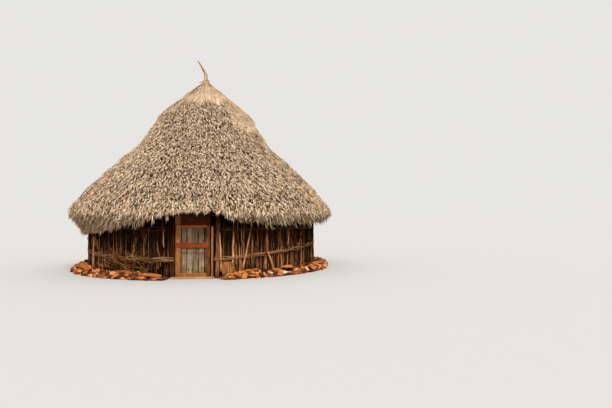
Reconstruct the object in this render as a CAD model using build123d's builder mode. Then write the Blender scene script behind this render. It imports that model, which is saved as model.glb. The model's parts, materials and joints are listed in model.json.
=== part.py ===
"""A round hut: a wall of upright sticks under a thick conical thatch, with one plank door.

The ground is Z = 0, the hut's axis is Z, and the door faces -Y. Sizes are in millimetres.
"""

import math
import os

from build123d import *

# Wall of sticks
wall_radius = 3340.0  # centre line of the sticks
wall_height = 1680.0  # ground to the underside of the wall plate
post_radius = 42.0
pole_sides = 12  # of every rough round pole
stick_radius = 48.0
stick_pitch = 95.0  # at most, so that neighbours always meet
panel_count = 13
seat_gap = 0.3  # between a piece and what carries it

# Binding withies tied round the wall, outside and inside
binder_size = 32.0
binder_edges_per_panel = 3
binder_levels = ((500.0, 0.05), (1220.0, 0.0))  # (height at the door, rise for each mm to the back)

# Door leaf and its frame
leaf_width = 846.0
leaf_bottom = 20.0
leaf_edge_gap = 10.0
stile_width = 120.0
right_stile_width = 85.0
frame_board_thickness = 28.0
plank_thickness = 22.0
plank_count = 6
plank_gap = 3.0
top_rail_height = 75.0
middle_rail_height = 125.0
middle_rail_bottom = 765.0
bottom_rail_height = 105.0
door_post_width = 100.0
door_post_depth = 110.0
leaf_stand = 45.0  # of the leaf's face, in front of the sticks' centre line
lintel_height = 125.0
head_board_height = 215.0
head_board_thickness = 30.0
lintel_depth = 130.0
rebate_width = 15.0  # cut from the posts' inner back corners, for the hinge barrels
rebate_setback = 6.0  # from the leaf's back face to the rebate
threshold_height = 45.0
threshold_depth = 95.0

# Hinges, on the leaf's left edge; the leaf swings inwards
hinge_heights = (330.0, 1110.0)
hinge_length = 90.0
hinge_plate_width = 40.0
hinge_plate_thickness = 3.0
barrel_radius = 6.5
pin_radius = 3.5
pin_clearance = 0.08
barrel_gap = 1.0

# Roof frame
plate_width = 80.0
plate_height = 70.0
roof_pitch = 46.0
rafter_radius = 36.0
rafter_count = 24
main_rafter_count = 8
rafter_tail = 60.0  # past the wall plate
jack_rafter_share = 0.21  # of the wall's radius, where the short rafters stop
hoop_size = 30.0
hoop_shares = (1.0165, 0.844, 0.671, 0.503, 0.347, 0.192)  # of the wall's radius
centre_post_radius = 80.0
centre_post_clearance = 63.0  # under the thatch

# Thatch, by courses from the eave up. Each level is (outer radius, height above the wall's top),
# both as shares of the wall's radius, so that the roof keeps its form on a wider wall.
roof_sides = 48
bundles_per_course = 12
plate_lengths = 24  # poles laid end to end in the wall plate
eave_shares = (
    (1.0569, -0.2096),
    (1.0659, -0.1437),
    (1.1048, -0.0868),
    (1.1811, -0.0120),
    (1.1647, 0.0434),
    (1.0449, 0.1766),
)
lower_shares = (
    (1.0584, 0.1766),
    (0.9042, 0.3323),
    (0.7695, 0.4581),
)
middle_shares = (
    (0.7814, 0.4581),
    (0.6317, 0.5808),
    (0.5599, 0.6647),
)
upper_shares = (
    (0.5704, 0.6647),
    (0.5090, 0.7575),
    (0.4371, 0.8623),
)
cap_shares = (
    (0.4611, 0.8623),
    (0.3623, 0.9551),
    (0.2560, 1.0419),
    (0.1332, 1.1437),
    (0.0569, 1.2006),
    (0.0254, 1.2305),
    (0.0254, 1.2665),
)
fringe_clearance = 66.0  # from the outer binders to the hanging lip
fringe_slant = 80.0  # by which the lip's inner face leans out
arch_clearance = 75.0  # of the eave's arch above the head board
arch_middle = 100.0  # of the arch's level crown, to the right of the door's middle
arch_crown_half = 350.0
arch_slope = 0.235  # fall of the lip to both sides of the crown
lip_drop_left = 665.0  # of the lip below the wall's top
lip_drop_right = 300.0

# Finial. Each level is (offset to the right, height above the thatch, radius).
finial_levels = (
    (0.0, 12.0, 50.0),
    (-22.0, 100.0, 48.0),
    (-120.0, 300.0, 36.0),
    (-258.0, 540.0, 20.0),
)
finial_root_radius = 42.0
finial_overlap = 8.0  # of each length into the next, where it bends
finial_root_length = 240.0
binding_height = 75.0
binding_thickness = 14.0
binding_drop = 35.0  # below the top of the thatch

# Light poles among the stones, leant on the outer binders:
# (degrees right of the door frame, radius, drop of the top below the wall's top)
prop_poles = (
    (2.3, 22.0, 160.0),
    (7.8, 24.0, 100.0),
    (16.3, 26.0, 180.0),
    (23.8, 26.0, 120.0),
)

# A rough post on the ground, right of the door frame
side_post_radius = 48.0
side_post_clearance = 8.0
side_post_drop = 200.0  # below the wall's top, clear of the thatch lip

# Board that patches the foot of the wall
patch_angle = 5.0  # right of the door frame
patch_width = 230.0
patch_top = 440.0
patch_thickness = 18.0

# Stones piled against the foot of the wall, as straight blocks round it
bank_blocks_per_panel = 2
bank_width = 478.0
bank_slope = 140.0  # of the chamfer along the heap's outer top edge
bank_height = 230.0
bank_margin_right = 1.8  # degrees clear of the door frame
bank_margin_left = 0.4

# Worked out from the sizes above
head_board_top = wall_height - lintel_height
leaf_top = head_board_top - head_board_height - leaf_edge_gap
door_front = -wall_radius - leaf_stand
slope = math.tan(math.radians(roof_pitch))
rafter_rise = rafter_radius / math.cos(math.radians(roof_pitch))
post_face = leaf_width / 2 + leaf_edge_gap
door_half = post_face + door_post_width
door_edge_angle = math.degrees(math.asin((door_half + 2 * seat_gap) / wall_radius))
panel_span = (360.0 - 2 * door_edge_angle) / panel_count
post_half_angle = math.degrees((post_radius + seat_gap) / wall_radius)
stick_half_angle = math.degrees(stick_radius / wall_radius)
wall_start = -90.0 + door_edge_angle
plate_outer = wall_radius + plate_width / 2
plate_inner = wall_radius - plate_width / 2
plate_bottom = wall_height + seat_gap
plate_top = plate_bottom + plate_height
plank_front = door_front + frame_board_thickness
leaf_back = plank_front + plank_thickness
door_post_front = -wall_radius - door_post_depth / 2
lintel_bottom = head_board_top + seat_gap
hinge_x = -leaf_width / 2 - leaf_edge_gap / 2
hinge_y = leaf_back + barrel_radius + pin_clearance
knuckle_pitch = hinge_length / 3
binder_edge = panel_span / binder_edges_per_panel
binder_apothem = wall_radius + post_radius + seat_gap
bank_block_span = panel_span / bank_blocks_per_panel
bank_top = bank_height + seat_gap
bank_outer = binder_apothem + bank_width
fringe_inner = binder_apothem + binder_size + fringe_clearance
hoop_radii = [share * wall_radius for share in hoop_shares]


def rafter_axis_height(radius):
    """Height of a rafter's centre line, with its underside on the plate's outer top edge."""
    return plate_top + seat_gap + rafter_rise + (plate_outer - radius) * slope


def rafter_top_height(radius):
    return rafter_axis_height(radius) + rafter_rise


def thatch_underside(radius):
    """Height of the cone that clears the hoops on the rafters."""
    return rafter_top_height(radius) + hoop_size * (1 + slope) + 2 * seat_gap


def underside_radius(height):
    return (thatch_underside(0.0) - height) / slope


def set_out(shares):
    """Radius and height of each level of thatch."""
    return [(radius * wall_radius, wall_height + rise * wall_radius) for radius, rise in shares]


eave_levels = set_out(eave_shares)
cap_levels = set_out(cap_shares)
nose_radius = max(eave_levels)[0]
trim_reach = 1.1 * nose_radius
thatch_top = cap_levels[-1][1]


def arc_points(radius, first, last, count):
    """Corners of a polygonal arc about the hut's axis."""
    angles = [math.radians(first + (last - first) * k / count) for k in range(count + 1)]
    return [(radius * math.cos(a), radius * math.sin(a)) for a in angles]


def make_stack(levels, sides=roof_sides):
    """A solid through many-sided sections, with flat faces between them."""
    edge_reach = math.cos(math.pi / sides)  # of an edge from the axis, where a corner's is 1
    with BuildPart() as stack:
        for (radius, height), (next_radius, next_height) in zip(levels, levels[1:]):
            rise = next_height - height
            with BuildSketch(Plane.XY.offset(height)):
                RegularPolygon(radius, sides)
            slant = math.atan((radius - next_radius) * edge_reach / rise)
            extrude(amount=rise, taper=math.degrees(slant))
    return stack.part


def make_seams(bottom, top, count):
    """Thin radial slots, which part a ring into pieces laid side by side."""
    with BuildPart() as seams:
        with BuildSketch(Plane.XY.offset(bottom)):
            with PolarLocations(trim_reach / 2, count):
                Rectangle(trim_reach, seat_gap)
        extrude(amount=top - bottom)
    return seams.part


def save(part, name):
    part.label = name
    export_step(part, f"parts/{name}.step")


def make_wall_posts():
    """Round posts between the panels, from the ground to the wall plate."""
    with BuildPart() as posts:
        with BuildSketch():
            with PolarLocations(
                wall_radius,
                panel_count - 1,
                start_angle=wall_start + panel_span,
                angular_range=panel_span * (panel_count - 2),
                endpoint=True,
            ):
                RegularPolygon(post_radius, pole_sides)
        extrude(amount=wall_height)
    return posts.part


def make_stick_panel(index):
    """A stretch of upright sticks, so close together that they read as one fluted wall."""
    first = wall_start + panel_span * index + stick_half_angle
    last = wall_start + panel_span * (index + 1) - stick_half_angle
    if index > 0:
        first += post_half_angle
    if index < panel_count - 1:
        last -= post_half_angle
    gaps = math.ceil(math.radians(last - first) * wall_radius / stick_pitch)
    with BuildPart() as panel:
        with BuildSketch():
            with PolarLocations(
                wall_radius,
                gaps + 1,
                start_angle=first,
                angular_range=last - first,
                endpoint=True,
            ):
                RegularPolygon(stick_radius, 6, rotation=30)
        extrude(amount=wall_height)
    return panel.part


def make_binder(outside, height, lean):
    """A withy tied round the posts, from one door post to the other."""
    edges = binder_edges_per_panel * panel_count
    if outside:
        corner = 1 / math.cos(math.radians(binder_edge / 2))
        near, far = binder_apothem * corner, (binder_apothem + binder_size) * corner
        first = wall_start - binder_edge / 2
        edges += 1
    else:
        near = wall_radius - post_radius - seat_gap
        far = near - binder_size
        first = wall_start
    last = first + binder_edge * edges
    rise = 2 * far * lean
    with BuildPart() as binder:
        with BuildSketch(Plane.XY.offset(height)):
            Polygon(
                *arc_points(near, first, last, edges),
                *reversed(arc_points(far, first, last, edges)),
                align=None,
            )
            with Locations((0, -wall_radius)):
                Rectangle(2 * (door_half + seat_gap), wall_radius / 2, mode=Mode.SUBTRACT)
        extrude(amount=rise + binder_size)
        with BuildSketch(Plane.YZ):
            Polygon(
                (-far, height),
                (far, height + rise),
                (far, height + rise + binder_size),
                (-far, height + binder_size),
                align=None,
            )
        extrude(amount=far, both=True, mode=Mode.INTERSECT)
    return binder.part


def make_binders(outside):
    """The lower binder climbs to the back, and the upper one runs level."""
    rings = [make_binder(outside, height, lean) for height, lean in binder_levels]
    with BuildPart() as binders:
        for ring in rings:
            add(ring)
    return binders.part


def make_wall_plate():
    """Poles laid round the top of the wall, which carry the rafters."""
    seams = make_seams(plate_bottom, plate_top, plate_lengths)
    with BuildPart() as plate:
        with BuildSketch(Plane.XY.offset(plate_bottom)):
            RegularPolygon(plate_outer, roof_sides)
            RegularPolygon(plate_inner, roof_sides, mode=Mode.SUBTRACT)
        extrude(amount=plate_height)
        add(seams, mode=Mode.SUBTRACT)
    return plate.part


def make_rafters(angles, top_radius):
    """Round poles from just outside the wall plate up towards the axis."""
    bottom_radius = plate_outer + rafter_tail
    length = (bottom_radius - top_radius) / math.cos(math.radians(roof_pitch))
    with BuildPart() as rafters:
        for angle in angles:
            out = Vector(1, 0, 0).rotate(Axis.Z, angle)
            foot = out * bottom_radius + Vector(0, 0, rafter_axis_height(bottom_radius))
            uphill = (Vector(0, 0, slope) - out).normalized()
            with BuildSketch(Plane(origin=foot, x_dir=out.cross(uphill), z_dir=uphill)):
                RegularPolygon(rafter_radius, pole_sides)
            extrude(amount=length)
    return rafters.part


def make_roof_hoops():
    """Withies running straight from rafter to rafter, on their upper side."""
    with BuildPart() as hoops:
        for radius in hoop_radii:
            with BuildSketch(Plane.XY.offset(rafter_top_height(radius) + seat_gap)):
                RegularPolygon(radius + hoop_size, rafter_count)
                RegularPolygon(radius, rafter_count, mode=Mode.SUBTRACT)
            extrude(amount=hoop_size)
    return hoops.part


def make_centre_post():
    with BuildPart() as post:
        with BuildSketch():
            RegularPolygon(centre_post_radius, pole_sides)
        extrude(amount=thatch_underside(centre_post_radius) - centre_post_clearance)
    return post.part


def make_thatch_course(levels):
    """A ring of thatch between two heights, hollow down to the roof frame."""
    bottom, top = levels[0][1] + seat_gap, levels[-1][1]
    outside = make_stack(((levels[0][0], bottom), *levels[1:]))
    inside = make_stack(((underside_radius(bottom), bottom), (underside_radius(top), top)))
    seams = make_seams(bottom, top, bundles_per_course)
    with BuildPart() as course:
        add(outside)
        add(inside, mode=Mode.SUBTRACT)
        add(seams, mode=Mode.SUBTRACT)
    return course.part


def make_thatch_eave():
    """The lowest course: a thick hanging lip, lifted over the door and lower on one side."""
    bottom, top = eave_levels[0][1], eave_levels[-1][1]
    slant_radius = fringe_inner + fringe_slant
    outside = make_stack(eave_levels)
    inside = make_stack(
        (
            (fringe_inner, bottom),
            (fringe_inner, eave_levels[2][1]),
            (slant_radius, thatch_underside(slant_radius)),
            (underside_radius(top), top),
        )
    )
    seams = make_seams(bottom, top, bundles_per_course)
    lip_radius = eave_levels[2][0]
    tilt = (lip_drop_left - lip_drop_right) / (2 * lip_radius) * trim_reach
    middle = wall_height - (lip_drop_left + lip_drop_right) / 2
    arch_top = head_board_top + arch_clearance
    crown_left = arch_middle - arch_crown_half
    crown_right = arch_middle + arch_crown_half
    with BuildPart() as eave:
        add(outside)
        add(inside, mode=Mode.SUBTRACT)
        with BuildSketch(Plane.XZ):
            Polygon(
                (-trim_reach, 0),
                (trim_reach, 0),
                (trim_reach, middle + tilt),
                (-trim_reach, middle - tilt),
                align=None,
            )
        extrude(amount=trim_reach, both=True, mode=Mode.SUBTRACT)
        with BuildSketch(Plane.XZ):
            Polygon(
                (-trim_reach, 0),
                (trim_reach, 0),
                (trim_reach, arch_top - arch_slope * (trim_reach - crown_right)),
                (crown_right, arch_top),
                (crown_left, arch_top),
                (-trim_reach, arch_top - arch_slope * (trim_reach + crown_left)),
                align=None,
            )
        extrude(amount=trim_reach, mode=Mode.SUBTRACT)
        add(seams, mode=Mode.SUBTRACT)
    return eave.part


def make_thatch_cap():
    """The top course, gathered at the apex round a socket for the finial."""
    bottom = cap_levels[0][1] + seat_gap
    hollow_top = thatch_underside(finial_root_radius)
    outside = make_stack(((cap_levels[0][0], bottom), *cap_levels[1:]))
    inside = make_stack(((underside_radius(bottom), bottom), (finial_root_radius, hollow_top)))
    with BuildPart() as cap:
        add(outside)
        add(inside, mode=Mode.SUBTRACT)
        with BuildSketch(Plane.XY.offset(thatch_top)):
            Circle(finial_root_radius + seat_gap)
        extrude(amount=-finial_root_length, mode=Mode.SUBTRACT)
    return cap.part


def make_apex_binding():
    """Rope wound round the gathered tops of the straw."""
    inside = cap_levels[-1][0] + seat_gap
    with BuildPart() as binding:
        with BuildSketch(Plane.XY.offset(thatch_top - binding_drop)):
            Circle(inside + binding_thickness)
            Circle(inside, mode=Mode.SUBTRACT)
        extrude(amount=-binding_height)
        outer_edges = binding.edges().filter_by(GeomType.CIRCLE).group_by(SortBy.RADIUS)[-1]
        chamfer(outer_edges, binding_thickness / 3)
    return binding.part


def make_finial():
    """A crooked stick, let into the apex and leaning to the left."""
    foot = thatch_top + seat_gap
    with BuildPart() as finial:
        with BuildSketch(Plane.XY.offset(foot)):
            RegularPolygon(finial_root_radius, pole_sides)
        extrude(amount=-(finial_root_length - seat_gap * 2))
        with BuildSketch(Plane.XY.offset(foot)):
            RegularPolygon(finial_levels[0][2], pole_sides)
        extrude(amount=2 * finial_levels[0][1])
        for (x, rise, radius), (next_x, next_rise, next_radius) in zip(finial_levels, finial_levels[1:]):
            start = Vector(x, 0, foot + rise)
            run = Vector(next_x, 0, foot + next_rise) - start
            with BuildSketch(Plane(origin=start, x_dir=(0, 1, 0), z_dir=run)):
                RegularPolygon(radius, pole_sides)
            slant = math.atan((radius - next_radius) / run.length)
            extrude(amount=run.length + finial_overlap, taper=math.degrees(slant))
    return finial.part


def make_door_post(side):
    """A squared door post, rebated behind the leaf; side is -1 on the left, 1 on the right."""
    rebate_front = leaf_back - rebate_setback
    rebate_depth = door_post_front + door_post_depth - rebate_front
    with BuildPart() as post:
        with BuildSketch():
            with Locations((side * (post_face + door_post_width / 2), -wall_radius)):
                Rectangle(door_post_width, door_post_depth)
            with Locations((side * (post_face + rebate_width / 2), rebate_front + rebate_depth / 2)):
                Rectangle(rebate_width, rebate_depth, mode=Mode.SUBTRACT)
        extrude(amount=head_board_top)
    return post.part


def make_lintel():
    with BuildPart() as lintel:
        with BuildSketch(Plane.XY.offset(lintel_bottom)):
            with Locations((0, -wall_radius)):
                Rectangle(2 * door_half, lintel_depth)
        extrude(amount=wall_height - lintel_bottom)
    return lintel.part


def make_head_board():
    """Painted board that closes the frame above the leaf."""
    bottom = leaf_top + leaf_edge_gap
    with BuildPart() as board:
        with BuildSketch(Plane.XY.offset(bottom)):
            with Locations((0, door_front + head_board_thickness / 2)):
                Rectangle(2 * (post_face - seat_gap), head_board_thickness)
        extrude(amount=head_board_top - bottom)
    return board.part


def make_threshold():
    """Timber sill across the foot of the door, which the leaf closes against."""
    front = door_post_front - seat_gap
    with BuildPart() as sill:
        with BuildSketch():
            with Locations((0, front - threshold_depth / 2)):
                Rectangle(2 * door_half, threshold_depth)
        extrude(amount=threshold_height)
        top_edges = sill.edges().filter_by(Axis.X).group_by(Axis.Z)[-1]
        chamfer(top_edges, threshold_depth / 5)
    return sill.part


def make_leaf_boards(boards):
    """Boards of the leaf's face, each given by its two sides, its foot and its height."""
    with BuildPart() as face:
        for left, right, bottom, height in boards:
            with BuildSketch(Plane.XY.offset(bottom)):
                with Locations(((left + right) / 2, door_front + frame_board_thickness / 2)):
                    Rectangle(right - left, frame_board_thickness)
            extrude(amount=height)
    return face.part


def make_door_planks():
    """Upright planks nailed behind the stiles and rails."""
    width = (leaf_width - plank_gap * (plank_count - 1)) / plank_count
    with BuildPart() as planks:
        with BuildSketch(Plane.XY.offset(leaf_bottom)):
            with Locations((0, plank_front + plank_thickness / 2)):
                with GridLocations(width + plank_gap, 1, plank_count, 1):
                    Rectangle(width, plank_thickness)
        extrude(amount=leaf_top - leaf_bottom)
    return planks.part


def make_hinges(side, knuckles):
    """Both hinges' plates and knuckles: side is -1 on the door post and 1 on the leaf."""
    plate_x = hinge_x + side * (leaf_edge_gap - hinge_plate_thickness) / 2
    plate_y = hinge_y - barrel_radius - barrel_gap - hinge_plate_width / 2
    with BuildPart() as hinges:
        for height in hinge_heights:
            bottom = height - hinge_length / 2
            with BuildSketch(Plane.XY.offset(bottom)):
                with Locations((plate_x, plate_y)):
                    Rectangle(hinge_plate_thickness, hinge_plate_width)
            extrude(amount=hinge_length)
            for knuckle in knuckles:
                with BuildSketch(Plane.XY.offset(bottom + knuckle * knuckle_pitch + barrel_gap / 2)):
                    with Locations((hinge_x, hinge_y)):
                        RegularPolygon(barrel_radius, pole_sides)
                    with Locations((plate_x, hinge_y)):
                        Rectangle(
                            hinge_plate_thickness,
                            hinge_plate_width / 2,
                            align=(Align.CENTER, Align.MAX),
                        )
                extrude(amount=knuckle_pitch - barrel_gap)
            with BuildSketch(Plane.XY.offset(bottom)):
                with Locations((hinge_x, hinge_y)):
                    Circle(pin_radius + pin_clearance if side > 0 else pin_radius)
            extrude(amount=hinge_length, mode=Mode.SUBTRACT if side > 0 else Mode.ADD)
    return hinges.part


def make_prop_poles():
    """Light upright poles that lean on the outer binders."""
    with BuildPart() as poles:
        for angle, radius, drop in prop_poles:
            off_middle = angle % binder_edge
            off_middle = min(off_middle, binder_edge - off_middle)
            reach = binder_apothem + binder_size + seat_gap + radius
            with BuildSketch(Plane.XY.offset(bank_top)):
                with PolarLocations(reach / math.cos(math.radians(off_middle)), 1, wall_start + angle):
                    RegularPolygon(radius, pole_sides)
            extrude(amount=wall_height - drop - bank_top)
    return poles.part


def make_side_post():
    """A thick rough post beside the door frame, which leans on the outer binders."""
    reach = binder_apothem + binder_size + seat_gap + side_post_radius
    turn = math.radians(door_edge_angle)
    middle_x = door_half + side_post_clearance + side_post_radius
    along = (middle_x - reach * math.sin(turn)) / math.cos(turn)
    with BuildPart() as post:
        with BuildSketch():
            with Locations((middle_x, along * math.sin(turn) - reach * math.cos(turn))):
                RegularPolygon(side_post_radius, pole_sides, rotation=wall_start)
        extrude(amount=wall_height - side_post_drop)
    return post.part


def make_patch_board():
    """A board stood against the foot of the sticks, below the lower binder."""
    stick_face = wall_radius + stick_radius * math.cos(math.radians(30))
    with BuildPart() as board:
        with BuildSketch(Plane.XY.offset(bank_top)):
            with PolarLocations(
                stick_face + seat_gap + patch_thickness / 2, 1, wall_start + patch_angle
            ):
                Rectangle(patch_thickness, patch_width)
        extrude(amount=patch_top - bank_top)
    return board.part


def make_stone_bank(blocks):
    """Stones heaped along the wall's foot, touching the posts and stopping at the door."""
    inner = binder_apothem / math.cos(math.radians(bank_block_span / 2))
    seam = math.degrees(seat_gap / wall_radius)
    bank_start = wall_start + bank_margin_right
    bank_end = wall_start + panel_span * panel_count - bank_margin_left
    with BuildPart() as bank:
        for block in blocks:
            middle = wall_start + block * bank_block_span
            first = max(middle - bank_block_span / 2, bank_start) + seam
            last = min(middle + bank_block_span / 2, bank_end)
            with BuildSketch():
                Polygon(
                    *arc_points(inner, first, last, 1),
                    *reversed(arc_points(bank_outer, first, last, 1)),
                    align=None,
                )
            extrude(amount=bank_height)
        middle_of_top = Vertex(0, 0, bank_height)
        top_edges = bank.edges().group_by(Axis.Z)[-1]
        outer_edges = top_edges.filter_by(
            lambda e: e.distance_to(middle_of_top) > bank_outer - bank_slope
        )
        chamfer(outer_edges, bank_slope)
    return bank.part


os.makedirs("parts", exist_ok=True)

save(make_wall_posts(), "wall_posts")
for panel in range(panel_count):
    save(make_stick_panel(panel), f"stick_panel_{panel + 1:02d}")
save(make_binders(True), "outer_binders")
save(make_binders(False), "inner_binders")
save(make_wall_plate(), "wall_plate")

rafter_step = 360 // rafter_count
main_step = 360 // main_rafter_count
main_angles = range(0, 360, main_step)
jack_angles = [angle for angle in range(0, 360, rafter_step) if angle % main_step]
main_rafter_end = centre_post_radius + seat_gap + rafter_radius * math.sin(math.radians(roof_pitch))
save(make_rafters(main_angles, main_rafter_end), "main_rafters")
save(make_rafters(jack_angles, jack_rafter_share * wall_radius), "jack_rafters")
save(make_roof_hoops(), "roof_hoops")
save(make_centre_post(), "centre_post")

save(make_thatch_eave(), "thatch_eave_course")
save(make_thatch_course(set_out(lower_shares)), "thatch_lower_course")
save(make_thatch_course(set_out(middle_shares)), "thatch_middle_course")
save(make_thatch_course(set_out(upper_shares)), "thatch_upper_course")
save(make_thatch_cap(), "thatch_cap")
save(make_apex_binding(), "apex_binding")
save(make_finial(), "finial")

save(make_door_post(-1), "door_post_left")
save(make_door_post(1), "door_post_right")
save(make_lintel(), "lintel")
save(make_head_board(), "head_board")
save(make_threshold(), "threshold")
save(make_hinges(-1, (0, 2)), "hinge_post_plates")

save(make_door_planks(), "door_planks")
leaf_left, leaf_right = -leaf_width / 2, leaf_width / 2
stile_inner_left = leaf_left + stile_width
stile_inner_right = leaf_right - right_stile_width
leaf_height = leaf_top - leaf_bottom
rails = (
    (stile_inner_left, stile_inner_right, leaf_bottom, bottom_rail_height),
    (stile_inner_left, stile_inner_right, middle_rail_bottom, middle_rail_height),
    (stile_inner_left, stile_inner_right, leaf_top - top_rail_height, top_rail_height),
)
save(make_leaf_boards([(leaf_left, stile_inner_left, leaf_bottom, leaf_height)]), "door_stile_left")
save(make_leaf_boards([(stile_inner_right, leaf_right, leaf_bottom, leaf_height)]), "door_stile_right")
save(make_leaf_boards(rails), "door_rails")
save(make_hinges(1, (1,)), "hinge_leaf_plates")

save(make_prop_poles(), "prop_poles")
save(make_side_post(), "side_post")
save(make_patch_board(), "patch_board")
bank_blocks = panel_count * bank_blocks_per_panel
side_blocks = bank_blocks // 4 + 1
save(make_stone_bank(range(side_blocks)), "stone_bank_right")
save(make_stone_bank(range(side_blocks, bank_blocks - side_blocks + 1)), "stone_bank_back")
save(make_stone_bank(range(bank_blocks - side_blocks + 1, bank_blocks + 1)), "stone_bank_left")
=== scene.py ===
# %% [markdown]
# # A round hut with a thatched roof
#
# A plain CAD model already gives this hut its sizes: a ring of stick panels, a roof frame of
# rafters and hoops, five courses of thatch, a plank door and banks of stones. In this lesson
# each plain solid gets the surface that the real one has: thousands of tufts of straw, crooked
# sticks, weathered boards and broken rock. Everything is in metres, the door faces -Y, and each
# finished piece sits at the origin with its place in its mesh, as the CAD nodes do.

import json
import math
import random

import bpy
from mathutils import Matrix, Vector

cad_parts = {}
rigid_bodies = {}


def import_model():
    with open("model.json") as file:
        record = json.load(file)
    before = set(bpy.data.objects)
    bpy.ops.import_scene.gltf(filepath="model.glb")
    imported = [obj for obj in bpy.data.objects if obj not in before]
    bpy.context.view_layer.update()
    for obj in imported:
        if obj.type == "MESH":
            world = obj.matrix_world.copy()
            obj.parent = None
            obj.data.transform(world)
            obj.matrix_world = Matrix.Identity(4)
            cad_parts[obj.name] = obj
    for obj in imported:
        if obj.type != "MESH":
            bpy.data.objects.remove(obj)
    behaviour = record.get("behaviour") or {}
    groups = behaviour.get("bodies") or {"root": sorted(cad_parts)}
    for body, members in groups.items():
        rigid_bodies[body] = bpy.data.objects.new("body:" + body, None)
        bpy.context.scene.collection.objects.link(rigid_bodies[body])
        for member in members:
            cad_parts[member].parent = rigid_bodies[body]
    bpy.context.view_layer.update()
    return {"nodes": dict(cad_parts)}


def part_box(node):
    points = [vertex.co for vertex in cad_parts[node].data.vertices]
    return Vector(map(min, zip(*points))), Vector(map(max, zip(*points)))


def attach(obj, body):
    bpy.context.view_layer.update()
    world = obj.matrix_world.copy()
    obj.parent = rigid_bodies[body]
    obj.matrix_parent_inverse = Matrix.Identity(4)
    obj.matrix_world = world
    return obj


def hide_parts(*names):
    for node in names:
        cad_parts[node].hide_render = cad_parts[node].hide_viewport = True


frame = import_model()
nodes = frame["nodes"]
random.seed(11)
bpy.ops.object.select_all(action="DESELECT")

# %% [markdown]
# ## Camera
#
# A camera can be aimed by eye or worked out. Here its place and its angles were worked out from
# the outline of the hut, so they are not round numbers. It stands in front of the door at eye
# height and looks slightly up. The hut is left of the middle of the picture.

# %% Camera
bpy.ops.object.camera_add(
    location=(1.499, -16.34, 1.555),
    rotation=(math.radians(91.35), 0, math.radians(-5.886)),
)
camera = bpy.context.object
camera.data.lens = 30
camera.data.sensor_width = 36
bpy.context.scene.camera = camera
print("camera at", tuple(camera.location))

# %% [markdown]
# ## Small tools for modelling
#
# Operators act on whatever is selected, so `only` clears the selection before it picks a piece.
# `modify` adds a modifier and applies it at once, as a modeller does who wants to go on shaping
# the result. `copied` gives a repeat of a piece its own mesh, and marks it with a number called
# tone, which a material can read to make one stick darker than the next. `dress` is the last
# step for each piece: it gives it its finish and the part of the hut that it moves with, and
# hides the CAD nodes that it takes the place of.

# %% Small tools
def only(piece):
    """Select one piece and nothing else."""
    bpy.ops.object.select_all(action="DESELECT")
    piece.select_set(True)
    bpy.context.view_layer.objects.active = piece


def modify(piece, kind, **settings):
    """Add a modifier and apply it."""
    only(piece)
    modifier = piece.modifiers.new(kind.title(), kind)
    for name, value in settings.items():
        setattr(modifier, name, value)
    bpy.ops.object.modifier_apply(modifier=modifier.name)


def set_tone(piece, tone):
    """Mark every point of a piece with a number for its material."""
    layer = piece.data.attributes.get("tone")
    if layer is None:
        layer = piece.data.attributes.new("tone", "FLOAT", "POINT")
    layer.data.foreach_set("value", [tone] * len(piece.data.vertices))


def copied(source, place, tone=None):
    """A copy with its own mesh, put in its place there."""
    piece = bpy.data.objects.new(source.name, source.data.copy())
    bpy.context.scene.collection.objects.link(piece)
    piece.data.transform(place)
    if tone is not None:
        set_tone(piece, tone)
    return piece


def joined(pieces, name):
    """Join pieces into the first of them."""
    bpy.ops.object.select_all(action="DESELECT")
    for piece in pieces:
        piece.select_set(True)
    bpy.context.view_layer.objects.active = pieces[0]
    bpy.ops.object.join()
    pieces[0].name = name
    return pieces[0]


def dress(piece, finish, slot, *replaced, body="hut"):
    """Give a piece its finish and body, and hide the CAD nodes that it replaces; slot is not used."""
    finish.coat(piece)
    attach(piece, body)
    if replaced:
        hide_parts(*replaced)


print("modelling tools ready")


# %% [markdown]
# ## Wires
#
# A material is a tree of nodes. Wiring it by hand in code is long, so `Wire` stands for one
# output socket and lets sums be written as in Python: `1 - wear` adds a Subtract node. Only the
# three operations that this hut needs are there.

# %% Wires
class Wire:
    """One output socket of a finish, which can be used in sums."""

    def __init__(self, finish, socket):
        self.finish = finish
        self.socket = socket

    def sum(self, operation, first, second):
        return self.finish.node("ShaderNodeMath", {"operation": operation}, {0: first, 1: second})

    def __add__(self, other):
        return self.sum("ADD", self, other)

    __radd__ = __add__

    def __sub__(self, other):
        return self.sum("SUBTRACT", self, other)

    def __rsub__(self, other):
        return self.sum("SUBTRACT", other, self)

    def __mul__(self, other):
        return self.sum("MULTIPLY", self, other)

    __rmul__ = __mul__


print("sums on wires: add, subtract and multiply")

# %% [markdown]
# ## Finishes
#
# `Finish` is one material. A single method adds any kind of node, first its settings and then
# what goes into its sockets, and the others are short names for the nodes that are used most:
# noise, a ramp of colours, a mask between two values, a mix and a bump. Everything is placed by
# Object coordinates, in metres from the middle of the hut, so no piece has to be unwrapped.

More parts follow.
